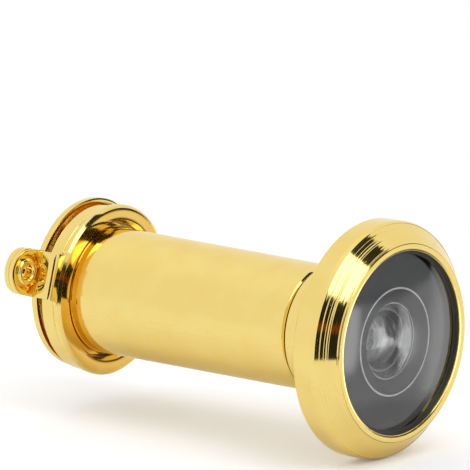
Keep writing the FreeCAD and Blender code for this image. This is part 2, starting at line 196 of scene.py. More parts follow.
def grey(level, warmth=0.0):
    """A grey that is redder with some warmth."""
    return (level * (1 + warmth), level, level * (1 - warmth), 1.0)


print("a warm white:", grey(0.93, 0.02))

# %% [markdown]
# ## What stands in the room
# A big key light hangs in front and above, and two bright cards stand low on the camera's side:
# they give the slope and the front lens their shine. The dark places are the floor under the
# camera, a tall gap that leans and widens upwards, the camera itself, and an open doorway. There
# somebody in a brown shirt looks on, which is the warm stripe inside the dark reflections. Two
# small cards, aside and behind, give the carrier ring and its lug something dark to reflect.

# %% The painted room
# Each panel: azimuth, half width, elevation, half height, softness of its edge, colour.
panels_behind_the_gap = {
    "key light": (8.0, 21.0, 53.0, 21.0, 1.5, grey(2.7, 0.02)),
    "low card": (-36.0, 5.5, -9.5, 5.5, 1.0, grey(4.0)),
    "side card": (-67.0, 7.5, -12.0, 12.0, 2.5, grey(2.2)),
    "floor under the camera": (-48.0, 17.0, -31.0, 12.0, 1.2, grey(0.06)),
}
panels_before_the_gap = {
    "camera": (-49.0, 9.0, 2.0, 10.4, 0.6, grey(0.04)),
    "doorway": (32.0, 13.5, 9.5, 21.5, 0.8, grey(0.02)),
    "brown shirt": (32.0, 12.5, 11.0, 3.0, 1.5, (0.17, 0.05, 0.012, 1.0)),
    "dark card behind": (-127.0, 5.0, -16.0, 3.0, 1.0, grey(0.04)),
    "brown card aside": (52.0, 3.5, -13.0, 4.0, 1.0, (0.2, 0.09, 0.03, 1.0)),
}
gap_azimuth = -38.0
gap_half_width = 5.0
gap_lean = 0.12
gap_widening = 0.24


def with_panels(tree, angles, colour, panels):
    for *placing, paint in panels.values():
        colour = mixed(tree, panel(angles, *placing), colour, paint)
    return colour


def leaning_gap(angles):
    """Mask of the tall dark gap, which leans and widens as it rises."""
    half_width = angles[1] * gap_widening + gap_half_width
    across = (angles[0] - gap_azimuth - angles[1] * gap_lean).math("ABSOLUTE")
    beside = (across - half_width).between(-0.8, 0.8)
    return (1 - beside) * panel(angles, gap_azimuth, 60.0, 30.0, 29.0)


def paint_room(world):
    tree = world.node_tree
    tree.nodes.clear()
    angles = room_angles(tree)
    colour = mixed(tree, angles[1].between(-8.0, 6.0), grey(0.97), grey(0.93, 0.02))
    colour = mixed(tree, angles[1].between(40.0, 90.0), colour, grey(1.05, 0.01))
    colour = with_panels(tree, angles, colour, panels_behind_the_gap)
    colour = mixed(tree, leaning_gap(angles), colour, grey(0.03))
    colour = with_panels(tree, angles, colour, panels_before_the_gap)
    camera_ray = add_node(tree, "ShaderNodeLightPath", output="Is Camera Ray")
    colour = mixed(tree, camera_ray, colour, grey(1.0))
    background = add_node(tree, "ShaderNodeBackground", None, {"Color": colour, "Strength": 1.0})
    add_node(tree, "ShaderNodeOutputWorld", None, {"Surface": background}, output=None)


world = bpy.data.worlds.new("tent")
world.use_nodes = True
bpy.context.scene.world = world
paint_room(world)
print("room nodes:", len(world.node_tree.nodes))

# %% [markdown]
# ## Reading an outline off a turned piece
# Almost every piece here comes off a lathe, so its whole shape is one outline of radius against
# length. The outline could be typed in again, but then it could drift away from the part. It is
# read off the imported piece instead: its mesh is cut along a half-plane through the barrel's axis,
# and the cut is walked from corner to corner.

# %% Cutting a piece through its axis
weld = 0.0005 * mm


def section_edges(node, quarter_turn):
    """Edges of the cut through the axis, as pairs of (radius, y) points.

    The cut runs along X, or along Z with a quarter turn.
    """
    shape = bmesh.new()
    shape.from_mesh(nodes[node].data)
    bmesh.ops.remove_doubles(shape, verts=shape.verts, dist=weld)
    cut = bmesh.ops.bisect_plane(
        shape, geom=shape.verts[:] + shape.edges[:] + shape.faces[:], dist=weld / 5,
        plane_co=(0, 0, 0), plane_no=(1, 0, 0) if quarter_turn else (0, 0, 1),
    )
    pairs = []
    for edge in cut["geom_cut"]:
        if isinstance(edge, bmesh.types.BMEdge):
            ends = [((v.co.z if quarter_turn else v.co.x), v.co.y) for v in edge.verts]
            if min(ends)[0] > -weld:
                pairs.append(ends)
    shape.free()
    return pairs


print("the sleeve is cut into", len(section_edges("sleeve", True)), "edges")

# %% Walking round the cut
def walk(pairs):
    """Orders loose edges into one line of points; starts on the axis if the line ends there."""
    def cell(point):
        return (round(point[0] / weld / 4), round(point[1] / weld / 4))

    links, places = {}, {}
    for a, b in pairs:
        if cell(a) != cell(b):
            for one, other in ((a, b), (b, a)):
                links.setdefault(cell(one), set()).add(cell(other))
                places[cell(one)] = one
    ends = [k for k in links if len(links[k]) == 1]
    current = min(ends or links, key=lambda k: places[k])
    path = [current]
    seen = {current}
    while True:
        ahead = [k for k in links[current] if k not in seen]
        if not ahead:
            break
        current = ahead[0]
        seen.add(current)
        path.append(current)
    return [Vector(places[k]) for k in path], not ends


print("the sleeve's cut has", len(walk(section_edges("sleeve", True))[0]), "points in a row")

# %% Corners of the outline
straight = math.radians(0.15)


def turn_at(points, index):
    before = points[index] - points[index - 1]
    after = points[(index + 1) % len(points)] - points[index]
    return abs(before.angle_signed(after, 0.0))


def outline(node, quarter_turn=False):
    """Corners of a turned piece, with the points in the middle of straight runs left out."""
    points, closed = walk(section_edges(node, quarter_turn))
    last = len(points) - 1
    kept = []
    for index in range(len(points)):
        is_end = not closed and index in (0, last)
        if is_end or turn_at(points, index) > straight:
            kept.append(points[index])
    return kept, closed


print("the sleeve's outline has", len(outline("sleeve", True)[0]), "corners")

# %% [markdown]
# ## True curves
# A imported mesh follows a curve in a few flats, and polished metal and glass show every one of
# them. A subdivision would smooth them, but would also pull the sharp corners in. So each long
# curve is laid again as one true arc, through the first, middle and last of its packed points.

# %% True curves
fine_turn = math.radians(12)
arc_steps = 20


def arc_points(first, middle, last, count):
    """Points along the circle through three points, the ends included."""
    ax, ay = middle - first
    bx, by = last - first
    twice_area = 2 * (ax * by - ay * bx)
    if abs(twice_area) < 1e-16:
        return [first, last]
    a2, b2 = ax * ax + ay * ay, bx * bx + by * by
    centre = first + Vector((by * a2 - ay * b2, ax * b2 - bx * a2)) / twice_area
    spoke = first - centre
    whole = spoke.angle_signed(last - centre)
    points = []
    for step in range(count + 1):
        turn = -whole * step / count
        c, s = math.cos(turn), math.sin(turn)
        points.append(centre + Vector((spoke.x * c - spoke.y * s, spoke.x * s + spoke.y * c)))
    return points


def true_arcs(points, closed):
    """Lays each gently turning stretch again as one arc."""
    last = len(points) - 1
    corners = [
        i for i in range(len(points))
        if (not closed and i in (0, last)) or turn_at(points, i) > fine_turn
    ]
    if closed:
        points = points[corners[0]:] + points[:corners[0]]
        shift = corners[0]
        corners = [i - shift for i in corners] + [len(points)]
        points = points + [points[0]]
    laid = []
    for start, end in zip(corners, corners[1:]):
        if end - start == 1:
            laid.append(points[start])
        else:
            middle = points[(start + end) // 2]
            laid += arc_points(points[start], middle, points[end], arc_steps)[:-1]
    if not closed:
        laid.append(points[-1])
    return laid


print("the front lens has", len(true_arcs(*outline("objective_lens"))), "points with true arcs")

# %% [markdown]
# ## A hair of room and soft corners
# Two faces at the very same place would fight for the light between them, so each piece is drawn
# in by a few thousandths of a millimetre. Then each corner gets a small round, which is what
# catches a thin line of light on the real piece. Both are done to the outline, before it is spun:
# a bevel afterwards would have to find the same corners again in a mesh of many thousand faces.

# %% Drawing in
skin = 0.004 * mm
sharpest_mitre = 0.2


def drawn_in(points, closed, gap):
    """Moves each side of the outline inwards by a gap."""
    area = sum(a.x * b.y - b.x * a.y for a, b in zip(points, points[1:] + points[:1]))
    side = 1.0 if area > 0 else -1.0
    moved = []
    for index, point in enumerate(points):
        on_axis = not closed and index in (0, len(points) - 1)
        before = (point - points[index - 1]).normalized()
        after = (points[(index + 1) % len(points)] - point).normalized()
        if on_axis:
            inner = after if index == 0 else before
            moved.append(Vector((0.0, point.y + side * gap * inner.x)))
            continue
        normal_before = Vector((-before.y, before.x)) * side
        normal_after = Vector((-after.y, after.x)) * side
        mitre = normal_before + normal_after
        opening = max(sharpest_mitre, 1 + normal_before.dot(normal_after))
        moved.append(point + mitre * (gap / opening))
    return moved


first_corner = drawn_in(*outline("lens_seal"), skin)[0]
print("the seal's first corner, drawn in, mm:", [round(value / mm, 3) for value in first_corner])

# %% Soft corners
corner_turn = math.radians(18)
corner_steps = 3
longest_share = 0.4


def softened(points, closed, rounding):
    """Rounds each sharp corner with an arc, as far as its two sides allow."""
    softer = []
    for index, point in enumerate(points):
        turn = turn_at(points, index)
        if (not closed and index in (0, len(points) - 1)) or turn < corner_turn:
            softer.append(point)
            continue
        before = points[index - 1] - point
        after = points[(index + 1) % len(points)] - point
        longest = min(before.length, after.length) * longest_share
        setback = min(rounding * math.tan(turn / 2), longest)
        radius = setback / math.tan(turn / 2)
        start = point + before.normalized() * setback
        end = point + after.normalized() * setback
        inward = (before.normalized() + after.normalized()).normalized()
        centre = point + inward * (radius / math.cos(turn / 2))
        middle = centre - inward * radius
        softer += arc_points(start, middle, end, corner_steps)
    return softer


print("corners of", round(math.degrees(corner_turn)), "degrees or more are rounded")

# %% [markdown]
# ## The lathe
# On the bench a bar turns and the tool follows the outline. The Geometry Nodes tree below does the
# same: it takes the outline as a line of points, lays a grid with one row for each step of the
# turn, and puts every grid point at its own angle. Merging by distance closes the seam and the
# poles. A screw modifier would do it too, but here the tree also marks which edges stay sharp.

# %% Helpers for geometry trees
def new_tree(name, sizes):
    """A geometry tree with an incoming mesh, named sizes and a material."""
    tree = bpy.data.node_groups.new(name, "GeometryNodeTree")
    face = tree.interface
    face.new_socket("Geometry", in_out="INPUT", socket_type="NodeSocketGeometry")
    for size, kind in sizes.items():
        face.new_socket(size, in_out="INPUT", socket_type="NodeSocket" + kind)
    face.new_socket("Material", in_out="INPUT", socket_type="NodeSocketMaterial")
    face.new_socket("Geometry", in_out="OUTPUT", socket_type="NodeSocketGeometry")
    start = add_node(tree, "NodeGroupInput", output=None)
    return tree, {output.name: Wire(output) for output in start.outputs if output.name}


def finish_tree(tree, geometry, material):
    """Ends a tree the way that the export needs: real geometry, with its material set."""
    real = add_node(tree, "GeometryNodeRealizeInstances", None, {0: geometry})
    painted = add_node(tree, "GeometryNodeSetMaterial", None, {"Geometry": real, "Material": material})
    add_node(tree, "NodeGroupOutput", None, {0: painted}, output=None)


def placed(tree, mesh, x, y, z):
    place = add_node(tree, "ShaderNodeCombineXYZ", None, {0: x, 1: y, 2: z})
    return add_node(tree, "GeometryNodeSetPosition", None, {"Geometry": mesh, "Position": place})


def shaded(tree, mesh, sharp_angle):
    """Smooth faces, with the edges that turn by more than an angle left sharp."""
    smooth = add_node(tree, "GeometryNodeSetShadeSmooth", None, {"Geometry": mesh})
    angle = add_node(tree, "GeometryNodeInputMeshEdgeAngle")
    inputs = {"Geometry": smooth, "Shade Smooth": angle.math("LESS_THAN", sharp_angle)}
    return add_node(tree, "GeometryNodeSetShadeSmooth", {"domain": "EDGE"}, inputs)


def merged(tree, mesh):
    return add_node(tree, "GeometryNodeMergeByDistance", None, {"Geometry": mesh, "Distance": weld})


print("points closer than", weld / mm, "mm are merged")

# %% Geometry Nodes: the lathe
segments = 256
sharp_angle = math.radians(30)


def make_lathe():
    tree, given = new_tree("lathe", {"Segments": "Int", "Closed": "Bool", "Sharp Angle": "Float"})
    source = given["Geometry"]
    size = add_node(tree, "GeometryNodeAttributeDomainSize", None, {"Geometry": source}, "Point Count")
    columns = size + given["Closed"]
    inputs = {"Vertices X": given["Segments"] + 1, "Vertices Y": columns}
    grid = add_node(tree, "GeometryNodeMeshGrid", None, inputs)
    index = add_node(tree, "GeometryNodeInputIndex")
    column = index.math("FLOORED_MODULO", columns).math("FLOORED_MODULO", size)
    row = (index / columns).math("FLOOR")
    angle = row / given["Segments"] * math.tau
    position = add_node(tree, "GeometryNodeInputPosition")
    sample = add_node(
        tree, "GeometryNodeSampleIndex", {"data_type": "FLOAT_VECTOR"},
        {"Geometry": source, "Value": position, "Index": column},
    )
    parts = add_node(tree, "ShaderNodeSeparateXYZ", None, {0: sample}).socket.node
    radius, along = Wire(parts.outputs[0]), Wire(parts.outputs[1])
    spun = placed(tree, grid, radius * angle.math("COSINE"), along, radius * angle.math("SINE"))
    closed = shaded(tree, merged(tree, spun), given["Sharp Angle"])
    finish_tree(tree, closed, given["Material"])
    return tree


lathe = make_lathe()
print("lathe nodes:", len(lathe.nodes))

# %% [markdown]
# ## From a tree to a kept piece
# A tree only runs as a modifier on an object. Its result is copied out as a plain mesh, and the
# object that carried it is thrown away, because the kept piece must stand at the origin with no
# modifier. Then the piece is tied to the body that it moves with, and the imported piece that it
# stands for is hidden.

# %% Running a tree
def line_object(points):
    """A loose line of points, as the outline that a tree reads."""
    mesh = bpy.data.meshes.new("outline")
    mesh.from_pydata([(p.x, p.y, 0.0) for p in points], [], [])
    holder = bpy.data.objects.new("outline", mesh)
    bpy.context.scene.collection.objects.link(holder)
    return holder


def run_tree(holder, tree, values):
    """Evaluates a tree on an object and returns the plain mesh that it made."""
    modifier = holder.modifiers.new(tree.name, "NODES")
    modifier.node_group = tree
    for item in tree.interface.items_tree:
        if item.in_out == "INPUT" and item.name in values:
            modifier[item.identifier] = values[item.name]
    evaluated = holder.evaluated_get(bpy.context.evaluated_depsgraph_get())
    mesh = bpy.data.meshes.new_from_object(evaluated)
    bpy.data.objects.remove(holder)
    return mesh


def faced_outwards(mesh):
    shape = bmesh.new()
    shape.from_mesh(mesh)
    bmesh.ops.recalc_face_normals(shape, faces=shape.faces)
    shape.to_mesh(mesh)
    shape.free()
    return mesh


def spun_mesh(points, closed, material):
    values = {
        "Segments": segments, "Closed": closed, "Sharp Angle": sharp_angle, "Material": material,
    }
    return faced_outwards(run_tree(line_object(points), lathe, values))


print("each outline is spun in", segments, "steps")

# %% Keeping a piece
def keep(name, mesh, body, stands_for):
    """Puts a finished mesh in the scene, ties it to its body and hides the piece it stands for."""
    piece = bpy.data.objects.new(name, mesh)
    bpy.context.scene.collection.objects.link(piece)
    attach(piece, body)
    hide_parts(stands_for)
    print(name, "has", len(mesh.polygons), "faces")


outdoor, indoor = "outdoor_unit", "indoor_sleeve"
print("the two main bodies are", outdoor, "and", indoor)

# %% [markdown]
# ## Building blocks for the materials
# A finish is a few simple habits: where a point is on the piece, a noise that follows how the
# piece was made, and a small tilt of the surface where that noise is high. These helpers name
# each habit once. All places are in millimetres on the piece, so a pattern keeps its real size.

# %% Material helpers
def new_material(name):
    material = bpy.data.materials.new(name)
    material.use_nodes = True
    tree = material.node_tree
    tree.nodes.clear()
    shader = add_node(tree, "ShaderNodeBsdfPrincipled", output=None)
    shown = Wire(shader.outputs[0])
    add_node(tree, "ShaderNodeOutputMaterial", None, {"Surface": shown}, output=None)
    return material, tree, shader


def feed(shader, **values):
    """Sets or links the shader's sockets; a name's underscores stand for spaces."""
    for name, value in values.items():
        socket = shader.inputs[name.replace("_", " ")]
        if isinstance(value, Wire):
            shader.id_data.links.new(value.socket, socket)
        else:
            socket.default_value = value


def object_place(tree):
    """The point on the piece in millimetres: as a vector, and as radius and length."""
    raw = add_node(tree, "ShaderNodeTexCoord", output="Object")
    place = add_node(tree, "ShaderNodeVectorMath", {"operation": "SCALE"}, {0: raw, "Scale": 1 / mm})
    parts = add_node(tree, "ShaderNodeSeparateXYZ", None, {0: place}).socket.node
    x, y, z = [Wire(output) for output in parts.outputs]
    radius = (x * x + z * z).math("SQRT")
    return place, radius, y


def noise(tree, place, scale, detail=2.0, roughness=0.5):
    inputs = {"Vector": place, "Scale": scale, "Detail": detail, "Roughness": roughness}
    return add_node(tree, "ShaderNodeTexNoise", None, inputs)


def ring_marks(tree, radius, along, pitch):
    """Noise that changes only across the turned rings, with about one ring for each pitch."""
    line = add_node(tree, "ShaderNodeCombineXYZ", None, {0: radius, 1: along, 2: 0.0})
    return noise(tree, line, 1 / pitch, detail=3.0, roughness=0.6)


def bumped(tree, height, distance, before=None):
    """Normal tilted by a height that runs from 0 to 1 over a distance in millimetres."""
    inputs = {"Height": height, "Distance": distance * mm, "Strength": 1.0, "Normal": before}
    return add_node(tree, "ShaderNodeBump", None, inputs)


print("patterns are in millimetres:", round(1 / mm), "to the metre")

# %% [markdown]
# ## Gold plate
# The brass is turned, polished and plated. Polishing leaves a mirror, but the lathe's marks stay
# under it: rings too fine to see one by one, which stretch and comb every reflection across them.
# The rings depend only on the distance from the barrel's axis and on the place along it, so they
# run true round every turned face. A second, much broader pattern makes the polish uneven, as
# wiping does, and a few fine specks are the pores that plating bridges over. The bezel's slope
# was cut with a chattering tool, so its rings are deeper there. In the carrier ring's recess the gold
# is painted deep orange: painted shade, for the redder light that bounces between its walls.

# %% Gold plate
gold_tone = (0.915, 0.72, 0.245, 1.0)
gold_deep = (0.89, 0.665, 0.2, 1.0)
# Painted shade: the deep orange of the carrier ring's recess, for light bounced between gold walls.
gold_in_painted_shade = (0.84, 0.5, 0.09, 1.0)
ring_pitch = 0.16
slope_start = 10.9
slope_back = -3.1


def chatter_marks(tree, radius, along):
    """Rough rings on the bezel's slope only, from its inner radius and in front of its back."""
    on_slope = radius.between(slope_start, slope_start + 0.05)
    on_slope = on_slope * (1 - along.between(slope_back, slope_back + 0.1))
    across = add_node(tree, "ShaderNodeCombineXYZ", None, {0: radius})
    return noise(tree, across, 9.0, detail=4.0) * on_slope


def painted_recess_shade(radius, along, smears, recess):
    """Mask of painted shade in a recess: its inner and outer radius and the place of its mouth."""
    inner, outer, mouth = recess
    shade_band = radius.between(inner - 0.1, inner) * (1 - radius.between(outer - 0.3, outer))
    return shade_band * (1 - along.between(mouth - 0.4, mouth)) * (smears * 0.3 + 0.6)


def gold_plate(name, ring_depth=0.0003, polish=0.055, chatter=0.0, recess=None):
    """Polished plating over turned rings; depths are in millimetres."""
    material, tree, shader = new_material(name)
    place, radius, along = object_place(tree)
    smears = noise(tree, place, 0.3, detail=3.0).between(0.35, 0.7)
    rings = ring_marks(tree, radius, along, ring_pitch)
    pores = 1 - noise(tree, place, 2.4, detail=1.0).between(0.24, 0.28)
    normal = bumped(tree, noise(tree, place, 0.22, detail=1.0), 0.006)
    normal = bumped(tree, rings, ring_depth, normal)
    normal = bumped(tree, pores * -1.0, 0.002, normal)
    if chatter:
        normal = bumped(tree, chatter_marks(tree, radius, along), chatter, normal)
    colour = mixed(tree, smears * 0.6, gold_tone, gold_deep)
    # Painted shade: the recess is coloured deep orange, for the light that bounces inside it.
    if recess:
        colour = mixed(tree, painted_recess_shade(radius, along, smears, recess), colour, gold_in_painted_shade)
    feed(
        shader, Base_Color=colour, Metallic=1.0,
        Roughness=polish + smears * 0.03 + rings * 0.02, Normal=normal,
    )
    return material


plating = gold_plate("gold_plate")
slope_plating = gold_plate("gold_plate_with_chatter", chatter=0.004)
pressed_plating = gold_plate(
    "gold_plate_on_pressed_brass", ring_depth=0.0001, polish=0.075, recess=(6.95, 9.2, 37.6)
)
print("gold plate nodes:", len(slope_plating.node_tree.nodes))

# %% [markdown]
# ## Turned brass
# Threads and hidden rings are left as they come off the machine. The brass is duller and redder
# than the plating, its rings are coarser, and it darkens in patches where fingers and cutting
# fluid have been.

# %% Turned brass
def turned_brass():
    material, tree, shader = new_material("turned_brass")
    place, radius, along = object_place(tree)
    tarnish = noise(tree, place, 0.5, detail=4.0).between(0.4, 0.75)
    rings = ring_marks(tree, radius, along, 0.09)
    colour = mixed(tree, tarnish, (0.78, 0.56, 0.26, 1.0), (0.5, 0.31, 0.12, 1.0))
    feed(
        shader, Base_Color=colour, Metallic=1.0, Roughness=0.2 + tarnish * 0.16 + rings * 0.08,
        Normal=bumped(tree, rings, 0.0012),
    )
    return material


brass = turned_brass()
print("turned brass nodes:", len(brass.node_tree.nodes))

# %% [markdown]
# ## Lens glass
# Optical glass bends light at both faces, so the lenses are real solids with a refractive index.
# Nothing is perfectly clean: a faint haze of wiping makes the surface a touch rougher in places,
# and the polish has a swell far too low to see except in a reflection. The edge of each hollow
# was ground and never polished, so it shows as a fine white ring inside the clear lens. The flat
# rim behind the front lens is thinly blacked, to keep stray light out of the small lenses.

# %% Layers on the glass
def ring_mask(radius, along, rings):
    """1 on narrow rings, each given as radius, width, and a range along the barrel."""
    mask = radius * 0.0
    for middle, width, low, high in rings:
        off_middle = (radius - middle).math("ABSOLUTE")
        inside = 1 - off_middle.between(width * 0.4, width * 0.6)
        inside = inside * along.between(low - 0.02, low) * (1 - along.between(high, high + 0.02))
        mask = mask.math("MAXIMUM", inside)
    return mask


def lay_over(tree, coat, share):
    """Lays a second shader over what the material shows, as far as the share goes."""
    output = next(node for node in tree.nodes if node.type == "OUTPUT_MATERIAL").inputs["Surface"]
    below = Wire(output.links[0].from_socket)
    inputs = {0: share, 1: below, 2: Wire(coat.outputs[0])}
    tree.links.new(add_node(tree, "ShaderNodeMixShader", None, inputs).socket, output)


def ground_glass(tree, place):
    ground = add_node(tree, "ShaderNodeBsdfPrincipled", output=None)
    grit = noise(tree, place, 8.0, detail=3.0)
    feed(
        ground, Base_Color=mixed(tree, grit, (0.8, 0.81, 0.83, 1.0), (0.97, 0.98, 1.0, 1.0)),
        Roughness=0.3 + grit * 0.2, Normal=bumped(tree, grit, 0.01),
    )
    return ground, (0.75 + grit * 0.5).math("MINIMUM", 1.0)


def rim_paint(tree, place):
    paint = add_node(tree, "ShaderNodeBsdfPrincipled", output=None)
    blotches = noise(tree, place, 1.5, detail=3.0)
    feed(
        paint, Base_Color=mixed(tree, blotches, grey(0.004), grey(0.009)), Roughness=0.6,
        Specular_IOR_Level=0.0,
    )
    return paint


print("two layers can lie on the glass: ground rings and black paint")

# %% Lens glass
def lens_glass(name, ground_rings=(), painted_rim=None):
    """Clear glass with ground rings and a black rim, both given in millimetres on the lens.

    The rim is given as its inner radius, its place along the barrel and how well it covers.
    """
    material, tree, shader = new_material(name)
    place, radius, along = object_place(tree)
    haze = noise(tree, place, 0.7, detail=4.0).between(0.5, 0.8)
    swell = bumped(tree, noise(tree, place, 0.25, detail=0.0), 0.0015)
    feed(
        shader, Base_Color=mixed(tree, haze, (0.985, 0.99, 0.995, 1.0), (0.95, 0.96, 0.97, 1.0)),
        Roughness=haze * 0.02, IOR=1.52, Transmission_Weight=1.0, Normal=swell,
    )
    if ground_rings:
        ground, strength = ground_glass(tree, place)
        lay_over(tree, ground, ring_mask(radius, along, ground_rings) * strength)
    if painted_rim:
        rim, level, cover = painted_rim
        share = radius.between(rim, rim + 0.05) * along.between(level - 0.06, level - 0.05) * cover
        lay_over(tree, rim_paint(tree, place), share)
    return material


glass = lens_glass("lens_glass")
front_glass = lens_glass(
    "lens_glass_ground_front", ground_rings=[(5.8, 0.2, -3.0, -2.7)], painted_rim=(5.95, -2.73, 0.85)
)
small_glass = lens_glass(
    "lens_glass_ground_small", ground_rings=[(3.15, 0.22, -0.8, -0.35), (4.1, 0.1, -2.8, -2.0)]
)
print("lens glass nodes:", len(front_glass.node_tree.nodes))

# %% [markdown]
# ## Black plastic, blackened metal and rubber
# All three are nearly black, so only their surface tells them apart. Moulded plastic copies a
# finely sparked mould. Blackened metal keeps the turned rings under its coat, with bare metal
# worn through on few specks. Rubber is the dullest, with a fine skin and some pale dust on it.

# %% Black finishes
def black_plastic():
    material, tree, shader = new_material("black_plastic")
    place = object_place(tree)[0]
    grain = noise(tree, place, 14.0, detail=2.0)
    flow = noise(tree, place, 0.6, detail=2.0)
    feed(
        shader, Base_Color=mixed(tree, flow, (0.009, 0.009, 0.011, 1.0), (0.016, 0.016, 0.02, 1.0)),
        Roughness=0.4 + flow * 0.14, Specular_IOR_Level=0.12, Normal=bumped(tree, grain, 0.003),
    )
    return material


def blackened_metal():
    material, tree, shader = new_material("blackened_metal")
    place, radius, along = object_place(tree)
    rings = ring_marks(tree, radius, along, 0.1)
    worn = noise(tree, place, 3.0, detail=3.0).between(0.66, 0.72)
    colour = mixed(tree, worn, (0.022, 0.022, 0.025, 1.0), (0.3, 0.22, 0.12, 1.0))
    feed(
        shader, Base_Color=colour, Metallic=worn * 0.8, Roughness=0.42 - worn * 0.1,
        Normal=bumped(tree, rings, 0.001),
    )
    return material


def seal_rubber():
    material, tree, shader = new_material("seal_rubber")
    place = object_place(tree)[0]
    fine_skin = noise(tree, place, 9.0, detail=3.0)
    dust = noise(tree, place, 1.3, detail=4.0).between(0.62, 0.8)
    colour = mixed(tree, dust, (0.014, 0.014, 0.015, 1.0), (0.06, 0.06, 0.06, 1.0))
    feed(
        shader, Base_Color=colour, Roughness=0.3 + fine_skin * 0.2,
        Normal=bumped(tree, fine_skin, 0.003),
    )
    return material


plastic, blackened, rubber = black_plastic(), blackened_metal(), seal_rubber()
print("black finishes:", plastic.name, blackened.name, rubber.name)

# %% [markdown]
# ## Spring steel
# The washer under the rivet's head is stamped from rolled strip, so its marks run straight across
# it, along the strip, and not round the hole.

# %% Spring steel
def spring_steel():
    material, tree, shader = new_material("spring_steel")
    place = object_place(tree)[0]
    stretch = add_node(
        tree, "ShaderNodeVectorMath", {"operation": "MULTIPLY"}, {0: place, 1: (0.4, 1.0, 14.0)}
    )
    strip = noise(tree, stretch, 1.0, detail=3.0)
    feed(
        shader, Base_Color=mixed(tree, strip, (0.5, 0.5, 0.51, 1.0), (0.62, 0.62, 0.62, 1.0)),
        Metallic=1.0, Roughness=0.2 + strip * 0.15, Normal=bumped(tree, strip, 0.0015),
    )
    return material


steel = spring_steel()
print("spring steel nodes:", len(steel.node_tree.nodes))

# %% [markdown]
# ## Turned pieces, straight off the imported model
# Most pieces need nothing more than their own outline, drawn in by a hair, with soft corners. The
# lenses also get true arcs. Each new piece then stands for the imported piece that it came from.

# %% Turned pieces
def turned_outline(node, rounding, curved=False, quarter_turn=False):
    points, closed = outline(node, quarter_turn)
    if curved:
        points = true_arcs(points, closed)
    return softened(drawn_in(points, closed, skin), closed, rounding * mm), closed


def lathed(name, node, body, material, rounding, curved=False):
    """The whole way from a packed turned node to its finished piece."""
    points, closed = turned_outline(node, rounding, curved)
    keep(name, spun_mesh(points, closed, material), body, node)


lathed("front_lens", "objective_lens", outdoor, front_glass, 0.08, curved=True)
lathed("small_lens", "second_lens", outdoor, small_glass, 0.1, curved=True)
lathed("rear_lens", "third_lens", outdoor, glass, 0.12, curved=True)
lathed("eye_lens", "eyepiece_lens", indoor, glass, 0.03, curved=True)
lathed("lens_cup", "lens_holder", outdoor, plastic, 0.08)
lathed("lens_spacing_ring", "lens_spacer", outdoor, plastic, 0.05)
lathed("front_seal", "lens_seal", outdoor, rubber, 0.1)
lathed("stop_disc", "aperture_ring", outdoor, blackened, 0.03)
lathed("eyepiece_cushion", "eyepiece_seat", indoor, plastic, 0.05)
lathed("front_lip", "front_ring", outdoor, plating, 0.015)
lathed("slip_ring", "slip_washer", indoor, plating, 0.05)

# %% [markdown]
# ## The bezel and its chattered slope
# The front slope isn't one smooth cone. The tool chattered as it cut, and left a few dozen narrow
# bands, each tilted a little off the next. That is far too little to see in the outline, but a
# mirror doubles every angle, so the edge of each dark reflection breaks into teeth. A bump on the
# material could tilt the light too, but it is smeared where the reflection matters most. So the
# slope's stretch of the outline is laid again as such bands, from a fixed seed. Each band has
# points close to both its ends, which keep the smooth shading between two bands to a hair.

# %% The bezel
band_count = 34
band_rise = 0.0065 * mm
highest_rise = 1.2 * band_rise
steepest = 0.22
band_points = (0.03, 0.1, 0.9, 0.97)
crest_rounding = 0.03 * mm
rim_rounding = 0.15 * mm


def banded_slope(first, last):
    """Points down a slope made of narrow bands; the narrower a band, the more it can tilt."""
    chance = random.Random(11)
    run = last - first
    across = Vector((-run.y, run.x)).normalized()
    cuts = sorted([0.0, 1.0] + [chance.uniform(0.02, 0.98) for _ in range(band_count - 1)])
    height, points = 0.0, []
    for start, end in zip(cuts, cuts[1:]):
        width = end - start
        limit = width * run.length * steepest
        rise = max(-limit, min(limit, chance.gauss(0.0, band_rise)))
        if abs(height + rise) > highest_rise:
            rise = -rise
        for share in band_points:
            points.append(first + run * (start + share * width) + across * (height + rise * share))
        height += rise
    return points


def bezel_outline():
    """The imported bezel's outline with its slope, from crest to foot, laid again in bands."""
    points, closed = outline("bezel")
    crest = min(range(len(points)), key=lambda i: points[i].y) + 1
    rim_radius = max(point.x for point in points)
    foot = next(i for i, point in enumerate(points) if point.x > rim_radius - 0.01 * mm) - 1
    inner = drawn_in(points, closed, skin)
    soft_before = softened(inner[: crest + 1] + [inner[foot]], False, crest_rounding)
    soft_after = softened([inner[crest]] + inner[foot:] + inner[:1], False, rim_rounding)
    slope = banded_slope(inner[crest], inner[foot])
    return soft_before[:-1] + slope[1:-1] + soft_after[1:-1], closed


points, closed = bezel_outline()
keep("bezel_body", spun_mesh(points, closed, slope_plating), outdoor, "bezel")

# %% [markdown]
# ## The indoor barrel and its coin slots
# The barrel and its flange are one turned piece. Two slots are milled across the flange's face,
# for the coin or key that screws the viewer together. The outline is read a quarter turn away from
# them, so it is whole, and they are cut out afterwards as they are on the bench: with a straight
# cutter taken away from the turned piece.

# %% The indoor barrel
slot_width = 1.6
slot_reach = (6.7, 8.6)
slot_bottom = 37.26
cutter_height = 2.0


def cutter_mesh():
    """Two blocks, one for each slot."""
    shape = bmesh.new()
    size = (slot_reach[1] - slot_reach[0], cutter_height, slot_width)
    for side in (-1, 1):
        block = bmesh.ops.create_cube(shape, size=1.0)["verts"]
        middle = side * (slot_reach[0] + slot_reach[1]) / 2
        bmesh.ops.scale(shape, vec=size, verts=block)
        bmesh.ops.translate(shape, vec=(middle, slot_bottom + cutter_height / 2, 0.0), verts=block)
    bmesh.ops.scale(shape, vec=(mm, mm, mm), verts=shape.verts)
    mesh = bpy.data.meshes.new("slot_cutter")
    shape.to_mesh(mesh)
    shape.free()
    return mesh


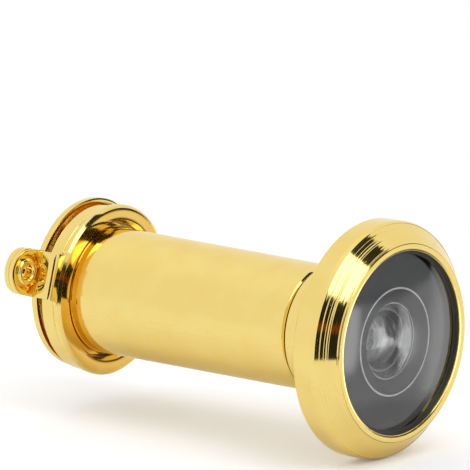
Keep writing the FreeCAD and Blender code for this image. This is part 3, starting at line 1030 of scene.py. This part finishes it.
def cut_away(mesh, tool_mesh, material):
    """The first mesh with the second taken out of it, as a plain mesh."""
    body = bpy.data.objects.new("to_cut", mesh)
    tool = bpy.data.objects.new("cutter", tool_mesh)
    for item in (body, tool):
        bpy.context.scene.collection.objects.link(item)
    tool_mesh.materials.append(material)
    cut = body.modifiers.new("cut", "BOOLEAN")
    cut.operation = "DIFFERENCE"
    cut.object = tool
    cut.solver = "EXACT"
    evaluated = body.evaluated_get(bpy.context.evaluated_depsgraph_get())
    result = bpy.data.meshes.new_from_object(evaluated)
    for item in (body, tool):
        bpy.data.objects.remove(item)
    return result


points, closed = turned_outline("sleeve", 0.05, quarter_turn=True)
barrel_mesh = cut_away(spun_mesh(points, closed, plating), cutter_mesh(), plating)
keep("indoor_barrel", barrel_mesh, indoor, "sleeve")

# %% [markdown]
# ## The thread
# The outdoor unit ends in a finely threaded tube that screws into the indoor barrel. A thread is
# a rule, not a shape: the radius at any place depends on how far along the tube it is and on how
# far round. The tree lays one long grid and gives every point its radius by that rule. The crests
# are cut flat, and the groove fades out at both ends and at the undercut, as a die leaves it.

# %% Geometry Nodes: the thread
blunt_flank = (0.12, 0.88)
end_chamfer = 0.4 * mm
undercut_run_in = 0.1 * mm
undercut_run_out = 0.3 * mm
bore_columns = 3
thread_edge = math.radians(40)
thread_sizes = {
    "Segments": "Int", "Columns": "Int", "Start": "Float", "End": "Float", "Crest": "Float",
    "Bore": "Float", "Pitch": "Float", "Depth": "Float", "Undercut Start": "Float",
    "Undercut End": "Float", "Undercut Depth": "Float", "Lead": "Float",
}


def groove_depth(given, along, turn):
    """How far the groove goes in: nothing on a crest, and fading out at both ends."""
    phase = (along / given["Pitch"] + turn).math("FRACT")
    ridge = ((phase - 0.5).math("ABSOLUTE") * 2.0).between(*blunt_flank)
    end, lead = given["End"], given["Lead"]
    fade = along.between(given["Undercut End"], given["Undercut End"] + lead)
    fade = fade * (1 - along.between(end - lead, end - lead * 0.3))
    return ridge * fade * given["Depth"]


def relief_depth(given, along):
    """How far the undercut by the bezel goes in."""
    start, end = given["Undercut Start"], given["Undercut End"]
    inside = along.between(start, start + undercut_run_in)
    inside = inside * (1 - along.between(end - undercut_run_out, end))
    return inside * given["Undercut Depth"]


def make_thread():
    """A grid wound into a tube; its last columns go back along the bore and close it."""
    tree, given = new_tree("thread", thread_sizes)
    columns = given["Columns"]
    all_columns = columns + bore_columns
    grid = add_node(
        tree, "GeometryNodeMeshGrid", None,
        {"Vertices X": given["Segments"] + 1, "Vertices Y": all_columns},
    )
    index = add_node(tree, "GeometryNodeInputIndex")
    column = index.math("FLOORED_MODULO", all_columns)
    turn = (index / all_columns).math("FLOOR") / given["Segments"]
    share = (column / (columns - 1)).math("MINIMUM", 1.0)
    share = share * (1 - column.math("GREATER_THAN", columns + 0.5))
    in_bore = column.math("COMPARE", columns + 0.5, 0.6)
    start, end = given["Start"], given["End"]
    along = start + (end - start) * share
    chamfer = (along - end + end_chamfer).math("MAXIMUM", 0.0)
    depth = groove_depth(given, along, turn) + relief_depth(given, along) + chamfer
    outer = (given["Crest"] - depth).math("MINIMUM", given["Crest"])
    radius = mixed(tree, in_bore, outer, given["Bore"], "FLOAT")
    angle = turn * math.tau
    wound = placed(tree, grid, radius * angle.math("COSINE"), along, radius * angle.math("SINE"))
    closed = shaded(tree, merged(tree, wound), thread_edge)
    finish_tree(tree, closed, given["Material"])
    return tree


thread = make_thread()
print("thread nodes:", len(thread.nodes))

# %% The threaded tube
tube_corners = outline("threaded_barrel")[0]
tube_radii = [corner.x for corner in tube_corners]
tube_places = [corner.y for corner in tube_corners]
thread_values = {
    "Segments": 120, "Columns": 440, "Start": min(tube_places) + skin,
    "End": max(tube_places) - skin, "Crest": max(tube_radii) - skin,
    "Bore": min(tube_radii) + skin, "Pitch": 0.75 * mm, "Depth": 0.4 * mm,
    "Undercut Start": 5.97 * mm, "Undercut End": 6.85 * mm, "Undercut Depth": 0.35 * mm,
    "Lead": 0.9 * mm, "Material": brass,
}
thread_mesh = faced_outwards(run_tree(line_object([Vector((0, 0))]), thread, thread_values))
keep("screwed_tube", thread_mesh, outdoor, "threaded_barrel")

# %% [markdown]
# ## Pressed and milled pieces
# The carrier ring with its stepped lug, the cover, the rivet and the slotted rings aren't simple
# turned shapes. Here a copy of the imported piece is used. Its flat facets are first joined back
# into whole faces, then a narrow bevel goes on every edge that turns by about thirty degrees or
# more. Barrel polishing rounds such edges by a few hundredths of a millimetre, and so does this.

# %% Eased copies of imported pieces
same_face = math.radians(0.6)
eased_turn = math.radians(28)
smooth_turn = math.radians(35)


def eased_copy(node, width):
    """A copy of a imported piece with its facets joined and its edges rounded."""
    shape = bmesh.new()
    shape.from_mesh(nodes[node].data)
    shape.transform(nodes[node].matrix_world)
    bmesh.ops.remove_doubles(shape, verts=shape.verts, dist=weld * 2)
    bmesh.ops.dissolve_degenerate(shape, edges=shape.edges, dist=weld)
    bmesh.ops.dissolve_limit(
        shape, angle_limit=same_face, verts=shape.verts, edges=shape.edges, delimit=set()
    )
    shared = [edge for edge in shape.edges if len(edge.link_faces) == 2]
    bmesh.ops.bevel(
        shape, geom=[edge for edge in shared if edge.calc_face_angle() > eased_turn],
        offset=width * mm, segments=2, profile=0.5, affect="EDGES",
        clamp_overlap=True, miter_outer="ARC", loop_slide=True,
    )
    bmesh.ops.triangulate(shape, faces=[face for face in shape.faces if len(face.verts) > 4])
    bmesh.ops.recalc_face_normals(shape, faces=shape.faces)
    for face in shape.faces:
        face.smooth = True
    for edge in shape.edges:
        edge.smooth = len(edge.link_faces) != 2 or edge.calc_face_angle() < smooth_turn
    mesh = bpy.data.meshes.new(node)
    shape.to_mesh(mesh)
    shape.free()
    return mesh


def eased(name, node, body, material, width):
    mesh = eased_copy(node, width)
    mesh.materials.append(material)
    keep(name, mesh, body, node)


eased("lug_ring", "carrier_ring", "carrier", pressed_plating, 0.06)
eased("hollow_rivet", "cover_rivet", "carrier", pressed_plating, 0.03)
eased("wave_washer", "rivet_washer", "carrier", steel, 0.02)
eased("eyepiece_key_ring", "eyepiece_ring", indoor, brass, 0.04)
eased("stack_key_ring", "lens_retaining_ring", outdoor, blackened, 0.04)

# %% [markdown]
# ## The cover's dome
# The cover is pressed into a very shallow dome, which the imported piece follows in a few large
# facets. A mirror finish shows them as an eight-sided ring in the middle. More facets would help a
# little, but the shape is right already, and only the light is wrong. So every corner of the dome
# is told which way a true ball faces there, and the light follows that.

# %% The cover
dome_rise = 0.49 * mm


def round_dome(mesh):
    """Normals of a true ball for the dome on the mesh's +Y side."""
    top = max((vertex.co for vertex in mesh.vertices), key=lambda place: place.y).copy()
    lowest = top.y - dome_rise
    dome = [face for face in mesh.polygons if face.center.y > lowest and face.normal.y > 0.95]
    reach = [mesh.vertices[index].co - top for face in dome for index in face.vertices]
    rim = min(reach, key=lambda place: place.y)
    ball = (rim.x ** 2 + rim.z ** 2 + rim.y ** 2) / (-2 * rim.y)
    normals = [corner.vector.copy() for corner in mesh.corner_normals]
    for face in dome:
        for corner in face.loop_indices:
            away = mesh.vertices[mesh.loops[corner].vertex_index].co - top
            normals[corner] = (away + Vector((0.0, ball, 0.0))).normalized()
    mesh.normals_split_custom_set(normals)
    print("dome facets:", len(dome), "ball radius, mm:", round(ball / mm, 1))


cover_mesh = eased_copy("cover_disc", 0.06)
cover_mesh.materials.append(pressed_plating)
round_dome(cover_mesh)
keep("swing_cover", cover_mesh, "cover", "cover_disc")

# %% [markdown]
# ## The table
# The viewer lies on a white sheet, on the lowest point of its bezel. A perfectly white product
# picture hides the sheet but not the soft shadow. So the sheet fades away to clear with distance,
# and the white room shows behind it. Mirrors see a smaller patch of the sheet than the camera
# does, because the painted room already holds the bright table that the metal reflects.

# %% The table
table_radius = 160 * mm
table_middle = 18 * mm
table_height = cad_box[0].z - 0.084 * mm
seen_from, seen_to = 0.055, 0.115
mirrored_from, mirrored_to = 0.022, 0.045


def sheet_material():
    material, tree, shader = new_material("white_sheet")
    raw = add_node(tree, "ShaderNodeTexCoord", output="Object")
    from_middle = add_node(tree, "ShaderNodeVectorMath", {"operation": "LENGTH"}, {0: raw}, "Value")
    fibres = noise(tree, raw, 900.0, detail=3.0)
    camera_ray = add_node(tree, "ShaderNodeLightPath", output="Is Camera Ray")
    seen = 1 - from_middle.between(seen_from, seen_to)
    mirrored = 1 - from_middle.between(mirrored_from, mirrored_to)
    feed(
        shader, Base_Color=mixed(tree, fibres, (0.93, 0.935, 0.945, 1.0), (0.96, 0.965, 0.975, 1.0)),
        Roughness=0.85, Specular_IOR_Level=0.0,
        Alpha=mixed(tree, camera_ray, mirrored, seen, "FLOAT"),
        Normal=bumped(tree, fibres, 0.01), Emission_Strength=1.0,
        Emission_Color=mixed(tree, camera_ray, grey(0.0), (0.14, 0.155, 0.19, 1.0)),
    )
    return material


def add_table():
    shape = bmesh.new()
    bmesh.ops.create_circle(shape, cap_ends=True, segments=96, radius=table_radius)
    mesh = bpy.data.meshes.new("table")
    shape.to_mesh(mesh)
    shape.free()
    mesh.materials.append(sheet_material())
    table = bpy.data.objects.new("table", mesh)
    table.location = (0.0, table_middle, table_height)
    bpy.context.scene.collection.objects.link(table)


add_table()
print("table at", round(table_height / mm, 2), "mm")

# %% [markdown]
# ## Light paths and the packed size
# Light that falls between two polished faces bounces many times and turns deeper gold at each
# bounce, so the limit on mirror bounces is raised.

# %% Finish
scene = bpy.context.scene
scene.cycles.max_bounces = 20
scene.cycles.glossy_bounces = 14
scene.cycles.transmission_bounces = 16
scene.cycles.transparent_max_bounces = 16
scene.view_settings.view_transform = "Standard"


print("packed size, mm:", [round((b - a) / mm, 3) for a, b in zip(*cad_box)])
